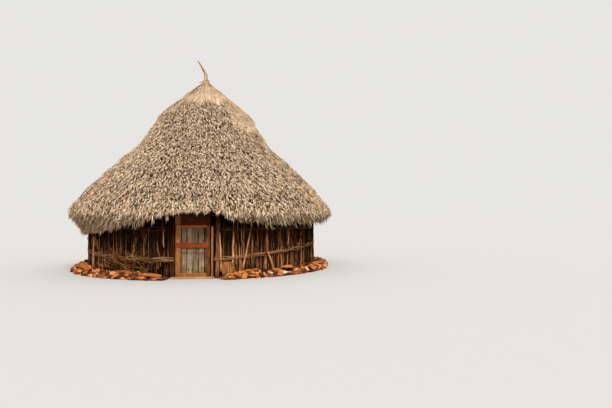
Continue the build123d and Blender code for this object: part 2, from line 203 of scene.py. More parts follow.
# %% Finishes
class Finish:
    """A material that is written as wires and nodes."""

    def __init__(self, name, roughness=0.9):
        self.material = bpy.data.materials.new(name)
        self.material.use_nodes = True
        self.tree = self.material.node_tree
        self.shader = self.tree.nodes["Principled BSDF"]
        self.shader.inputs["Roughness"].default_value = roughness
        self.shader.inputs["Specular IOR Level"].default_value = 0.1
        self.place = self.node("ShaderNodeTexCoord", output="Object")

    def feed(self, socket, value):
        if isinstance(value, Wire):
            self.tree.links.new(value.socket, socket)
        else:
            socket.default_value = value

    def node(self, kind, settings=None, inputs=None, output=0):
        """Add a node: first its settings, then what goes into its sockets."""
        node = self.tree.nodes.new(kind)
        for name, value in (settings or {}).items():
            if name == "stops":
                self.set_stops(node.color_ramp, value)
            else:
                setattr(node, name, value)
        for key, value in (inputs or {}).items():
            self.feed(node.inputs[key], value)
        return Wire(self, node.outputs[output])

    def set_stops(self, ramp, stops):
        while len(ramp.elements) < len(stops):
            ramp.elements.new(1.0)
        for element, (position, colour) in zip(ramp.elements, stops):
            element.position = position
            element.color = (*colour, 1)

    def noise(self, scale, detail=3.0, stretch=(1, 1, 1)):
        """Cloudy noise from 0 to 1, finer as scale grows, and stretched along any axis."""
        spread = self.node("ShaderNodeMapping", {}, {"Vector": self.place, "Scale": stretch})
        return self.node("ShaderNodeTexNoise", {}, {"Vector": spread, "Scale": scale, "Detail": detail})

    def tone(self):
        return self.node("ShaderNodeAttribute", {"attribute_name": "tone"}, output="Fac")

    def ramp(self, factor, *stops):
        return self.node("ShaderNodeValToRGB", {"stops": stops}, {"Fac": factor})

    def between(self, value, low, high):
        """0 below low, 1 above high and a straight rise between them."""
        return self.node(
            "ShaderNodeMapRange", {"clamp": True}, {"Value": value, "From Min": low, "From Max": high}
        )

    def mix(self, factor, first, second):
        """Mix two colours: all of the first at 0, all of the second at 1."""
        first, second = [
            colour if isinstance(colour, Wire) else (*colour, 1) for colour in (first, second)
        ]
        return self.node(
            "ShaderNodeMix", {"data_type": "RGBA"}, {0: factor, 6: first, 7: second}, output=2
        )

    def height(self):
        """Height above the ground, in metres."""
        return self.node("ShaderNodeSeparateXYZ", {}, {"Vector": self.place}, output="Z")

    def colour(self, value):
        self.feed(self.shader.inputs["Base Color"], value)

    def bump(self, height, strength, distance):
        """Small relief from a wire that goes from 0 to 1."""
        relief = self.node(
            "ShaderNodeBump",
            {},
            {"Strength": strength, "Distance": distance, "Height": height},
            output="Normal",
        )
        self.feed(self.shader.inputs["Normal"], relief)

    def coat(self, *pieces):
        """Give this finish to pieces or CAD nodes."""
        for piece in pieces:
            piece.data.materials.clear()
            piece.data.materials.append(self.material)


print("finishes are placed in metres from the middle of the hut")

# %% [markdown]
# ## Straw finishes
#
# Old thatch is grey-brown where rain and sun reach it. The mat under the tufts and the fringe
# under the eave are coloured near black, as painted shade between and beneath the tufts. The
# fresh straw that caps the tip is golden. Each blade carries its own tone, so one ramp of
# colours from dark brown to pale straw is enough to make the roof look like thousands of
# separate stems.

# %% Straw finishes
def straw_finish(name, old_stops, fresh_stops, fresh_from=5.0):
    """Old straw with a ramp of colours, and fresh straw above a height."""
    straw = Finish(name, roughness=0.9)
    tone = straw.tone()
    patches = straw.noise(0.8, detail=3)  # more than a metre wide
    clumps = straw.noise(9.0, detail=3)  # a hand wide
    weathered = straw.between(straw.height(), 4.6, 1.6)  # 1 at the eave, 0 near the tip
    mixed = tone + patches * 0.30 + clumps * 0.60 - weathered * 0.08 - 0.34
    fresh = straw.between(straw.height() + patches * 0.6, fresh_from, fresh_from + 0.6)
    straw.colour(straw.mix(fresh, straw.ramp(mixed, *old_stops), straw.ramp(tone, *fresh_stops)))
    straw.bump(straw.noise(160, detail=2), 0.25, 0.01)
    return straw


# Each ramp is a list of (position, colour), from shade to light
OLD = (
    (0.12, (0.040, 0.018, 0.008)), (0.26, (0.28, 0.168, 0.090)),
    (0.42, (0.74, 0.510, 0.308)), (0.76, (1.0, 0.81, 0.58)),
)
FRESH = ((0.0, (0.27, 0.155, 0.075)), (0.4, (0.55, 0.39, 0.24)), (1.0, (0.78, 0.61, 0.42)))
# painted light: the lip's straw is coloured brighter than the roof's, against the shade on the eave's
# nose
LIT_LIP = ((0.15, (0.14, 0.08, 0.038)), (0.35, (0.74, 0.53, 0.33)), (0.75, (1.0, 0.83, 0.60)))
# painted shade: this near-black ramp colours the mat under the tufts and the fringe under the eave
SHADE_RAMP = ((0.1, (0.018, 0.009, 0.004)), (0.5, (0.07, 0.04, 0.022)), (1.0, (0.16, 0.10, 0.058)))
old_straw = straw_finish("old_straw", OLD, FRESH)
shoulder_straw = straw_finish("shoulder_straw", OLD, FRESH, fresh_from=4.4)
lip_straw = straw_finish("lip_straw", LIT_LIP, FRESH)
under_straw = straw_finish("under_straw", SHADE_RAMP, FRESH)
print("straw finishes:", old_straw.material.name, under_straw.material.name)

# %% [markdown]
# ## Thatch body
#
# Under its tufts a thatch is one thick lumpy mat. A mat could be sculpted, or spun from a
# profile. The CAD courses already have the right section, with an eave that is lifted over the
# door and lower on the left, so copies of them are joined and fused by a voxel remesh, which
# also closes the joints between bundles. Smoothing then softens the steps between courses, and
# a clouds texture pushes shallow lumps into the mat and makes room for the straw that covers it.

# %% Thatch body
def fused(piece, voxel, soften):
    """Weld the parts of a piece, lay one skin of voxels over them, and soften it."""
    only(piece)
    bpy.ops.object.mode_set(mode="EDIT")
    bpy.ops.mesh.select_all(action="SELECT")
    bpy.ops.mesh.remove_doubles(threshold=0.0001)
    bpy.ops.object.mode_set(mode="OBJECT")
    modify(piece, "REMESH", mode="VOXEL", voxel_size=voxel)
    modify(piece, "SMOOTH", factor=soften, iterations=4)


COURSES = ("eave_course", "lower_course", "middle_course", "upper_course", "cap")
thatch_body = joined([copied(nodes["thatch_" + course], Matrix()) for course in COURSES], "thatch_body")
fused(thatch_body, voxel=0.075, soften=0.6)
lumps = bpy.data.textures.new("thatch_lumps", "CLOUDS")
lumps.noise_scale = 0.45
lumps.noise_depth = 2
modify(thatch_body, "DISPLACE", texture=lumps, strength=0.06, mid_level=0.95, texture_coords="LOCAL")
only(thatch_body)
bpy.ops.object.shade_smooth()
# the mat is coloured near black as painted shade between the tufts
dress(thatch_body, under_straw, "thatch", *["thatch_" + course for course in COURSES])
print(thatch_body.name, len(thatch_body.data.polygons), "faces")

# %% [markdown]
# ## Tufts of straw
#
# One tuft is a handful of stems that start together and fan out. Hair strands could be used, but
# a strip is a plain mesh that any program can show. A stem is a narrow strip whose end edge is
# extruded once, aside and upwards, and merged to a point, so that it bends and tapers. A few
# different tufts are enough, because each place on the roof gets its own turn, size and lean.

# %% Picking parts and keeping patterns
def pick(piece, kind, chosen):
    """Go into edit mode with only the vertices, edges or faces selected that pass a test."""
    only(piece)
    kinds = ("vertices", "edges", "polygons")
    bpy.context.tool_settings.mesh_select_mode = tuple(kind == k for k in kinds)
    for parts in (piece.data.vertices, piece.data.edges, piece.data.polygons):
        parts.foreach_set("select", [False] * len(parts))
    for part in getattr(piece.data, kind):
        part.select = chosen(part)
    bpy.ops.object.mode_set(mode="EDIT")


def put_away(piece, collection):
    """Move a pattern out of the scene into a collection of its own."""
    for home in list(piece.users_collection):
        home.objects.unlink(piece)
    collection.objects.link(piece)


def discard(pieces):
    """Remove patterns that were only copied from."""
    for piece in pieces:
        bpy.data.objects.remove(piece)


print("patterns are kept in collections outside the scene")

# %% Tufts
def bent_stem(length, width, lift):
    """A narrow strip from the origin along Y, bent aside and up to a point."""
    bpy.ops.mesh.primitive_plane_add(size=1, location=(0, 0, 0))
    stem = bpy.context.object
    half = length / 2
    bpy.ops.object.mode_set(mode="EDIT")
    bpy.ops.transform.resize(value=(width, half, 1), center_override=(0, 0, 0))
    bpy.ops.object.mode_set(mode="OBJECT")
    pick(stem, "edges", lambda edge: all(stem.data.vertices[v].co.y > 0 for v in edge.vertices))
    aside = random.gauss(0, 0.02)
    rise = lift * random.uniform(0.5, 1.5)
    bpy.ops.mesh.extrude_region_move(TRANSFORM_OT_translate={"value": (aside, half, rise)})
    bpy.ops.mesh.merge(type="CENTER")
    bpy.ops.object.mode_set(mode="OBJECT")
    return stem


STEM_KINDS = 5  # different stems in each kind of tuft


def make_tufts(name, count, stems, length, width, lift, fan):
    """Several different tufts, in a collection of their own."""
    patterns = [bent_stem(length * random.uniform(0.8, 1.15), width, lift) for _ in range(STEM_KINDS)]
    collection = bpy.data.collections.new(name)
    for number in range(count):
        blades = []
        for _ in range(stems):
            turn = Matrix.Rotation(random.gauss(0, fan), 4, "Z")
            roll = Matrix.Rotation(random.gauss(0, 0.6), 4, "Y")
            start = Matrix.Translation(
                (random.uniform(-0.035, 0.035), random.uniform(-0.05, 0.03), random.uniform(-0.01, 0.015))
            )
            size = Matrix.Scale(random.uniform(0.75, 1.2), 4)
            blades.append(copied(random.choice(patterns), start @ turn @ roll @ size, random.random()))
        tuft = joined(blades, f"{name}_{number}")
        put_away(tuft, collection)
    discard(patterns)
    return collection


field_tufts = make_tufts("field_tuft", 10, stems=6, length=0.115, width=0.0135, lift=0.016, fan=0.42)
tip_tufts = make_tufts("tip_tuft", 4, stems=9, length=0.40, width=0.012, lift=0.0, fan=0.04)
lip_tufts = make_tufts("lip_tuft", 6, stems=6, length=0.14, width=0.014, lift=0.0, fan=0.2)
spike_tufts = make_tufts("spike_tuft", 5, stems=4, length=0.20, width=0.017, lift=0.0, fan=0.10)
TUFTS = (field_tufts, tip_tufts, lip_tufts, spike_tufts)

# %% [markdown]
# ## Scattering
#
# Some thirty thousand tufts can't be placed by hand. Geometry Nodes does it: points are spread
# on the faces that look outwards, no two closer than a set distance, and each gets a tuft that
# lies down the slope. The instances are realised and the modifier applied, so that what is left
# is an ordinary mesh.

# %% Scattering with Geometry Nodes
class Scatter:
    """A Geometry Nodes tree that spreads the objects of a collection over a surface."""

    def __init__(self, name):
        self.tree = bpy.data.node_groups.new(name, "GeometryNodeTree")
        self.tree.interface.new_socket("Geometry", in_out="INPUT", socket_type="NodeSocketGeometry")
        self.tree.interface.new_socket("Geometry", in_out="OUTPUT", socket_type="NodeSocketGeometry")

    def add(self, kind, settings=None, inputs=None):
        node = self.tree.nodes.new(kind)
        for name, value in (settings or {}).items():
            setattr(node, name, value)
        for key, value in (inputs or {}).items():
            if isinstance(value, bpy.types.NodeSocket):
                self.tree.links.new(value, node.inputs[key])
            else:
                node.inputs[key].default_value = value
        return node

    def vector(self, operation, first, second=(0, 0, 0)):
        node = self.add("ShaderNodeVectorMath", {"operation": operation}, {0: first, 1: second})
        return node.outputs["Value" if operation == "DOT_PRODUCT" else "Vector"]

    def sum(self, operation, first, second):
        return self.add("ShaderNodeMath", {"operation": operation}, {0: first, 1: second}).outputs[0]


print("scatter trees ready")

# %% [markdown]
# ## Which faces get straw
#
# The faces could be painted by hand, as weights. Here a few rules choose them instead, so that
# the choice still holds when the CAD roof changes: how far a face looks outwards or down, which
# side of the hut it is on, and how high it is. Each rule gives 0 or 1, and they are multiplied.

# %% Choosing faces
LOWEST, HIGHEST = -9.0, 99.0  # metres, below and above all of the hut


def chosen_faces(tree, low, high, outward, down, facing, ragged):
    """A socket that is 1 on the faces that get a stamp, and one that points away from the axis."""
    normal = tree.add("GeometryNodeInputNormal").outputs[0]
    place = tree.add("GeometryNodeInputPosition").outputs[0]
    radial = tree.vector("NORMALIZE", tree.vector("MULTIPLY", place, (1, 1, 0)))
    z = tree.add("ShaderNodeSeparateXYZ", {}, {0: place}).outputs["Z"]
    if ragged:
        wander = tree.add("ShaderNodeTexNoise", {}, {"Vector": place, "Scale": 6.0}).outputs[0]
        z = tree.sum("ADD", z, tree.sum("MULTIPLY", tree.sum("SUBTRACT", wander, 0.5), ragged))
    chosen = tree.sum("GREATER_THAN", tree.vector("DOT_PRODUCT", normal, radial), outward)
    if down is not None:
        nz = tree.add("ShaderNodeSeparateXYZ", {}, {0: normal}).outputs["Z"]
        chosen = tree.sum("MULTIPLY", chosen, tree.sum("LESS_THAN", nz, down))
    if facing is not None:
        near = tree.vector("DOT_PRODUCT", radial, facing)  # cosine of the angle between them
        chosen = tree.sum("MULTIPLY", chosen, tree.sum("GREATER_THAN", near, 0.8))
    chosen = tree.sum("MULTIPLY", chosen, tree.sum("GREATER_THAN", z, low))
    chosen = tree.sum("MULTIPLY", chosen, tree.sum("LESS_THAN", z, high))
    return chosen, radial


print("faces are chosen by outward look, side and height")

# %% [markdown]
# ## A scattered piece
#
# Points are spread by the Poisson method, which keeps them a set distance apart, where plain
# random points would leave clumps and holes. Each point then gets a turn in three steps: upright
# on the face, down the slope, and a small random turn of its own.

# %% A scattered piece
def scattered(
    name, surface, stamps, gap, seed, low=LOWEST, high=HIGHEST, outward=0.35, down=None,
    hang=None, sway=(0.2, 0.4, 0.6), sizes=(0.8, 1.25), facing=None, ragged=0.0,
):
    """A new piece with stamps spread over a surface, between two heights.

    A face is used where it looks away from the hut's axis by more than outward, where it looks
    down enough if down is given, and on the side that facing points to if that is given. With
    hang, a stamp hangs from a more upright place than the surface has. Ragged is how far the two
    heights wander up and down.
    """
    tree = Scatter(name)
    source = tree.add("NodeGroupInput")
    chosen, radial = chosen_faces(tree, low, high, outward, down, facing, ragged)
    points = tree.add(
        "GeometryNodeDistributePointsOnFaces",
        {"distribute_method": "POISSON"},
        {"Mesh": source.outputs[0], "Selection": chosen, "Distance Min": gap,
         "Density Max": 3 / gap**2, "Seed": seed},
    )
    above = tree.vector("ADD", radial, (0, 0, hang)) if hang else points.outputs["Normal"]
    upright = tree.add("FunctionNodeAlignRotationToVector", {"axis": "Z"}, {"Vector": above})
    sloped = tree.add(
        "FunctionNodeAlignRotationToVector",
        {"axis": "Y", "pivot_axis": "Z"},
        {"Rotation": upright.outputs[0], "Vector": (0, 0, -1)},
    )
    random_turn = tree.add("FunctionNodeRandomValue", {"data_type": "FLOAT_VECTOR"}, {"Seed": seed + 1})
    random_turn.inputs[0].default_value = [-angle for angle in sway]
    random_turn.inputs[1].default_value = sway
    extra_turn = tree.add("FunctionNodeEulerToRotation", {}, {0: random_turn.outputs[0]})
    turned = tree.add(
        "FunctionNodeRotateRotation",
        {"rotation_space": "LOCAL"},
        {"Rotation": sloped.outputs[0], "Rotate By": extra_turn.outputs[0]},
    )
    random_size = tree.add("FunctionNodeRandomValue", {"data_type": "FLOAT"}, {"Seed": seed + 2})
    random_size.inputs[2].default_value, random_size.inputs[3].default_value = sizes
    stock = tree.add(
        "GeometryNodeCollectionInfo",
        {},
        {"Collection": stamps, "Separate Children": True, "Reset Children": True},
    )
    instances = tree.add(
        "GeometryNodeInstanceOnPoints",
        {},
        {"Points": points.outputs["Points"], "Instance": stock.outputs[0], "Pick Instance": True,
         "Rotation": turned.outputs[0], "Scale": random_size.outputs[1]},
    )
    real = tree.add("GeometryNodeRealizeInstances", {}, {0: instances.outputs[0]})
    result = tree.add("NodeGroupOutput")
    tree.tree.links.new(real.outputs[0], result.inputs[0])
    piece = bpy.data.objects.new(name, surface.data.copy())
    bpy.context.scene.collection.objects.link(piece)
    modify(piece, "NODES", node_group=tree.tree)
    print(name, len(piece.data.polygons), "faces")
    return piece


print("ready to scatter", ", ".join(tufts.name for tufts in TUFTS))

# %% [markdown]
# ## Straw over the roof
#
# A thatcher lays the straw from the eave up, and the roof gets it in the same order: five bands
# of tufts, which are smaller and closer towards the top, where the rings are narrow. Separate
# bands keep each mesh light. The tip, the right shoulder and the left flank are covered by long
# combed straw, and the lip of the eave by wisps that hang down, with a fringe inside it that is
# coloured dark as painted shade.

# %% Straw over the roof
# Name, lowest and highest place, gap between tufts, size of the largest tuft
BANDS = (
    ("eave", LOWEST, 1.95, 0.0425, 1.25),
    ("low", 1.95, 2.6, 0.0425, 1.2),
    ("middle", 2.6, 3.3, 0.0415, 1.1),
    ("high", 3.3, 4.2, 0.038, 1.0),
    ("cap", 4.2, 5.2, 0.036, 0.9),
)
for number, (band, low, high, gap, largest) in enumerate(BANDS):
    straw = scattered(
        "straw_" + band, thatch_body, field_tufts, gap, 20 + number, low=low, high=high,
        sway=(0.07, 0.35, 0.4), sizes=(largest * 0.65, largest), ragged=1.7,
    )
    dress(straw, old_straw, "thatch")

# %% Straw at the tip, the shoulder and the lip
tip_straw = scattered(
    "straw_tip", thatch_body, tip_tufts, 0.04, 31, low=5.06, high=5.90, sway=(0.02, 0.3, 0.06),
    ragged=1.0,
)
shoulder = scattered(
    "straw_shoulder", thatch_body, tip_tufts, 0.046, 33, low=4.1, high=4.95,
    sway=(0.0, 0.3, 0.06), sizes=(0.35, 0.55), facing=(0.94, -0.34, 0), ragged=0.5,
)
flank = scattered(
    "straw_flank", thatch_body, tip_tufts, 0.05, 35, low=4.75, high=5.3,
    sway=(0.0, 0.3, 0.06), sizes=(0.6, 1.0), facing=(-0.98, 0.17, 0),
)
# the wisps and spikes get the lip straw, which is coloured brighter as painted light
wisps = scattered(
    "straw_wisps", thatch_body, lip_tufts, 0.046, 32, high=1.95, outward=0.72, down=0.3,
    hang=0.75, sway=(0.12, 0.3, 0.2), sizes=(0.6, 1.2),
)
fringe = scattered(
    "straw_fringe", thatch_body, lip_tufts, 0.09, 34, high=1.9, outward=-9, down=-0.5,
    hang=0.1, sway=(0.3, 0.3, 0.3), sizes=(0.3, 0.7),
)
spikes = scattered(
    "straw_spikes", thatch_body, spike_tufts, 0.085, 36, high=1.9, outward=0.15, down=-0.3,
    hang=0.35, sway=(0.1, 0.3, 0.2), sizes=(0.5, 1.2),
)
for straw, finish in (
    (tip_straw, old_straw), (shoulder, shoulder_straw), (flank, shoulder_straw),
    (wisps, lip_straw), (spikes, lip_straw), (fringe, under_straw),
):
    dress(straw, finish, "thatch")

# %% [markdown]
# ## Wood finishes
#
# All the wood on the hut is unpainted. Bark-brown sticks have a warm edge where the bark has
# gone; boards that stand in the rain turn grey, with grain that runs along them; the rails have
# kept a dark red stain. One function makes them all: grain is noise that is stretched along
# the wood, the tone of each stick or board shifts its colour, and painted shade darkens the
# wood towards the eave.

# %% Wood finishes
def wood_finish(
    name, dark, middle, light, grain=(1, 1, 0.05), fineness=60.0, eave_shade=0.0, eave_shade_heights=(0.7, 1.75)
):
    """Wood from three colours, and painted shade that darkens it towards the eave, rising between two
    heights.
    """
    wood = Finish(name, roughness=0.9)
    streaks = wood.noise(fineness, stretch=grain, detail=4)
    blotches = wood.noise(5.0, detail=3)
    value = streaks * 0.9 + blotches * 0.45 + wood.tone() * 0.5 - 0.45
    # painted shade: the wood gets darker with height, up into the eave's shadow
    if eave_shade:
        value = value - eave_shade * wood.between(wood.height() + blotches * 0.5, *eave_shade_heights)
    wood.surface = wood.ramp(value, (0.15, dark), (0.5, middle), (0.85, light))
    wood.colour(wood.surface)
    wood.bump(streaks, 0.4, 0.004)
    return wood


# The darkening towards the eave that these woods are given is painted shade.
bark = wood_finish(
    "stick_bark", (0.010, 0.0035, 0.0012), (0.115, 0.042, 0.014), (0.66, 0.30, 0.105),
    fineness=45, eave_shade=0.32,
)
# painted shade: the sticks behind the front row and the board behind the right jamb are coloured near
# black
back_bark = wood_finish(
    "back_bark", (0.004, 0.0015, 0.0006), (0.022, 0.008, 0.003), (0.10, 0.04, 0.015),
    fineness=45, eave_shade=0.2,
)
pole_bark = wood_finish("roof_pole_bark", (0.07, 0.042, 0.025), (0.20, 0.125, 0.07), (0.36, 0.24, 0.14))
pale_wood = wood_finish(
    "pale_wood", (0.03, 0.010, 0.004), (0.34, 0.130, 0.038), (0.92, 0.50, 0.20),
    eave_shade=0.5, eave_shade_heights=(1.2, 1.55),
)
grey_board = wood_finish(
    "grey_board", (0.03, 0.018, 0.010), (0.23, 0.145, 0.082), (0.68, 0.49, 0.315),
    fineness=42, eave_shade=0.12,
)
orange_board = wood_finish("orange_board", (0.07, 0.022, 0.006), (0.34, 0.125, 0.032), (0.66, 0.31, 0.10))
post_wood = wood_finish(
    "post_wood", (0.02, 0.007, 0.003), (0.16, 0.062, 0.02), (0.52, 0.25, 0.09), eave_shade=0.34
)
withy = wood_finish(
    "withy", (0.04, 0.018, 0.007), (0.24, 0.115, 0.05), (0.60, 0.34, 0.16), grain=(1, 1, 1), eave_shade=0.35
)
ACROSS = (0.05, 1, 1)  # grain along X, for boards that lie across the door
red_board = wood_finish(
    "red_board", (0.09, 0.014, 0.004), (0.36, 0.062, 0.016), (0.58, 0.15, 0.045), grain=ACROSS
)
# painted shade: the head board keeps its red paint, coloured darker for the eave's shadow over it
head_red = wood_finish(
    "head_red", (0.02, 0.004, 0.002), (0.10, 0.022, 0.008), (0.24, 0.06, 0.02), grain=ACROSS
)
step_wood = wood_finish(
    "step_wood", (0.14, 0.055, 0.02), (0.44, 0.21, 0.075), (0.72, 0.42, 0.20), grain=ACROSS
)
print("wood finishes:", withy.material.name, red_board.material.name)

# %% [markdown]
# ## Weather marks on the planks
#
# The old planks of the door have more to tell than grain: a wavy brown line where damp has crept
# up, cool grey patches, and a few dark knots. Each mark is a mask from 0 to 1, made from noise
# and height, and each lays its own colour over the board's. A painted image could hold them too,
# but masks stay sharp at any distance.

# %% Weather marks
waves = grey_board.noise(9.0, stretch=(1, 1, 0.3), detail=3)
level = grey_board.height() + waves * 0.16
tide = grey_board.between(level, 0.66, 0.72) - grey_board.between(level, 0.74, 0.755)
knot_holes = grey_board.between(grey_board.noise(14.0, stretch=(1, 1, 0.5), detail=0), 0.72, 0.78)
wet = grey_board.between(grey_board.noise(7.0, stretch=(1, 1, 0.25), detail=2), 0.5, 0.62)
damp = grey_board.mix(wet * 0.45, grey_board.surface, (0.20, 0.20, 0.165))
marked = grey_board.mix(tide * 0.5, damp, (0.09, 0.045, 0.02))
grey_board.colour(grey_board.mix(knot_holes * 0.8, marked, (0.03, 0.015, 0.008)))
print("weather marks on", grey_board.material.name)

# %% [markdown]
# ## A crooked pole
#
# Every stick, post and strand is grown in the same way: a small disc is extruded a length at a
# time, and each length is nudged aside and narrowed. It takes more steps than a cylinder would,
# but a cylinder stays straight and these must not.

# %% A crooked pole
def settle(piece):
    """Put a piece's place into its mesh, and leave its object at the origin."""
    only(piece)
    bpy.ops.object.transform_apply(location=True, rotation=True, scale=True)


def grow_pole(name, steps, foot, top, sides=7, rough=0.06):
    """A pole through the given points, from a foot radius to a top radius."""
    start = Vector(steps[0])
    bpy.ops.mesh.primitive_circle_add(vertices=sides, radius=foot, fill_type="NGON", location=start)
    pole = bpy.context.object
    pole.name = name
    bpy.ops.object.mode_set(mode="EDIT")
    shrink = (top / foot) ** (1 / (len(steps) - 1))
    for here, there in zip(steps, steps[1:]):
        move = Vector(there) - Vector(here)
        bpy.ops.mesh.extrude_region_move(TRANSFORM_OT_translate={"value": move})
        size = shrink * random.uniform(1 - rough, 1 + rough)
        bpy.ops.transform.resize(value=(size, size, 1), center_override=there)
    bpy.ops.mesh.select_all(action="SELECT")
    bpy.ops.mesh.normals_make_consistent(inside=False)
    bpy.ops.object.mode_set(mode="OBJECT")
    settle(pole)
    bpy.ops.object.shade_smooth()
    return pole


print("poles are grown from a disc")

# %% Stick patterns
def wandering(height, lengths, wander, pull=0.75):
    """Points up a crooked stick that stands on the origin; a pull below 1 keeps it upright."""
    points = [(0.0, 0.0, 0.0)]
    for number in range(1, lengths + 1):
        x, y, _ = points[-1]
        aside = x * pull + random.gauss(0, wander)
        away = y * pull + random.gauss(0, wander)
        points.append((aside, away, height * number / lengths))
    return points


stick_patterns = [
    grow_pole(
        f"stick_{n}", wandering(1.64, 9, 0.010),
        foot=random.uniform(0.013, 0.019), top=random.uniform(0.009, 0.014), sides=5,
    )
    for n in range(9)
]
thick_patterns = [
    grow_pole(
        f"thick_{n}", wandering(1.66, 4, 0.004),
        foot=random.uniform(0.029, 0.032), top=random.uniform(0.028, 0.030), sides=6,
    )
    for n in range(4)
]
print("stick patterns:", len(stick_patterns), len(thick_patterns))

# %% [markdown]
# ## A place on the ring
#
# Nearly everything in the wall stands on a ring round the hut's axis. Its place could be worked
# out with sines and cosines each time. A chain of turns and moves is easier to read: turn round
# the axis, go out to the ring, lean, tip, and turn on the spot.

# %% A place on the ring
def stand(angle, radius, lean=0.0, tip=0.0, turn=0.0, height=0.0, stretch=1.0):
    """The place of a stick on the ring: sideways lean and inward tip in degrees."""
    return (
        Matrix.Rotation(math.radians(angle), 4, "Z")
        @ Matrix.Translation((radius, 0, height))
        @ Matrix.Rotation(math.radians(lean), 4, "X")
        @ Matrix.Rotation(math.radians(tip), 4, "Y")
        @ Matrix.Rotation(turn, 4, "Z")
        @ Matrix.Diagonal((1, 1, stretch, 1))
    )


print("straight behind, one metre out:", stand(90, 1.0).translation)

# %% [markdown]
# ## The wall of sticks
#
# The wall is made of hundreds of thin sticks set side by side, with thicker ones behind them,
# coloured near black as painted shade, and short slanting ones woven across. Each CAD panel is
# replaced by its own stretch of sticks. One crooked stick could be repeated by an array, but the
# eye finds such a rhythm at once, so each stick is a random pattern that leans by a degree or so.

# %% The sticks of one panel
PANELS = 13
PANEL_SPAN = 26.278  # degrees round the hut
WALL_START = -80.81  # degrees, at the door frame's right side
STICKS = 44  # of each panel, in front
SLANTING = 14  # short sticks woven across them
BACK_STICKS = 38
FRONT_RADIUS = 3.357
SLANT_RADIUS = 3.380
BACK_RADIUS = 3.316
ANY_TURN = 6.3  # radians, a full turn
SUNLIT_FROM, SUNLIT_TO = -72.8, -28  # degrees: the front sticks right of the door, made paler as painted sunlight
# painted light: paler tone right of the door as painted sunlight, darker tone elsewhere as painted shade
PAINTED_SUN, PAINTED_SHADE = 0.18, -0.08


def front_sticks(first):
    """The thin sticks of a panel, from its first angle on."""
    row = []
    for number in range(STICKS):
        angle = first + PANEL_SPAN * (number + 0.5 + random.uniform(-0.3, 0.3)) / STICKS
        # painted sunlight on the sticks right of the door, painted shade on the others
        painted_light = PAINTED_SUN if SUNLIT_FROM < angle < SUNLIT_TO else PAINTED_SHADE
        row.append(
            copied(
                random.choice(stick_patterns),
                stand(
                    angle, FRONT_RADIUS + random.uniform(-0.014, 0.014),
                    lean=random.gauss(0, 1.3), tip=random.gauss(0, 0.3),
                    turn=random.uniform(0, ANY_TURN), stretch=random.uniform(0.7, 1.0),
                ),
                random.choice((0.0, 0.15, 0.3, 0.45, 0.6, 1.0)) + painted_light,
            )
        )
    return row


def slanting_sticks(first):
    """The short sticks that are woven across a panel."""
    row = []
    for _ in range(SLANTING):
        angle = first + PANEL_SPAN * random.uniform(0.08, 0.92)
        row.append(
            copied(
                random.choice(stick_patterns),
                stand(
                    angle, SLANT_RADIUS, lean=random.gauss(0, 14), turn=random.uniform(0, ANY_TURN),
                    height=random.uniform(0.2, 0.9), stretch=random.uniform(0.15, 0.4),
                ),
                random.choice((0.3, 0.7, 1.0)),
            )
        )
    return row


def back_sticks(first):
    """The thick sticks behind a panel, coloured dark as painted shade."""
    row = []
    for number in range(BACK_STICKS):
        angle = first + PANEL_SPAN * (number + 0.5 + random.uniform(-0.1, 0.1)) / BACK_STICKS
        row.append(
            copied(
                random.choice(thick_patterns),
                stand(angle, BACK_RADIUS, lean=random.gauss(0, 0.15), turn=random.uniform(0, ANY_TURN)),
                random.random(),
            )
        )
    return row


print("sticks in a panel:", STICKS, SLANTING, BACK_STICKS)

# %% The wall of sticks
for panel in range(PANELS):
    first = WALL_START + panel * PANEL_SPAN
    front = joined(front_sticks(first) + slanting_sticks(first), f"sticks_{panel + 1:02d}")
    back = joined(back_sticks(first), f"back_sticks_{panel + 1:02d}")
    dress(front, bark, "wall_sticks", f"stick_panel_{panel + 1:02d}")
    dress(back, back_bark, "wall_sticks")
print("sticks in the wall:", PANELS * (STICKS + SLANTING + BACK_STICKS))

# %% [markdown]
# ## Posts
#
# Rough posts stand between the stretches of sticks and carry the roof. Each is a stouter pole of
# the same kind, and three patterns are enough. The first one stands a little away from the door
# frame, so that a dark gap shows between them.

# %% Posts
POST_RADIUS = 3.34
FIRST_POST = 1.2  # degrees from the start of the wall
post_patterns = [
    grow_pole(f"post_{n}", wandering(1.675, 8, 0.007), foot=0.046, top=0.040, sides=9, rough=0.05)
    for n in range(3)
]
posts = []
for number in range(PANELS + 1):
    angle = WALL_START + max(FIRST_POST, number * PANEL_SPAN)
    posts.append(
        copied(random.choice(post_patterns), stand(angle, POST_RADIUS, turn=number), random.random())
    )
wall_posts = joined(posts, "rough_wall_posts")
dress(wall_posts, post_wood, "wall_timber", "wall_posts")
discard(post_patterns)
print("posts:", len(posts))

# %% [markdown]
# ## Binding withies
#
# The sticks are held by long thin branches tied round the wall, outside and inside. A torus is
# already a ring, so one is added for each strand, roughened, tilted where the binder climbs
# towards the back, and cut away in front of the door.

# %% One strand
knots = bpy.data.textures.new("withy_knots", "CLOUDS")
knots.noise_scale = 0.35
DOOR_GAP = 0.56  # metres to either side of the door's middle
BEND_WIDTH = 0.75  # the ends bend outwards inside this
END_WIDTH = 0.62
LEFT_END, RIGHT_END = -0.46, 0.53
BEND = 0.06


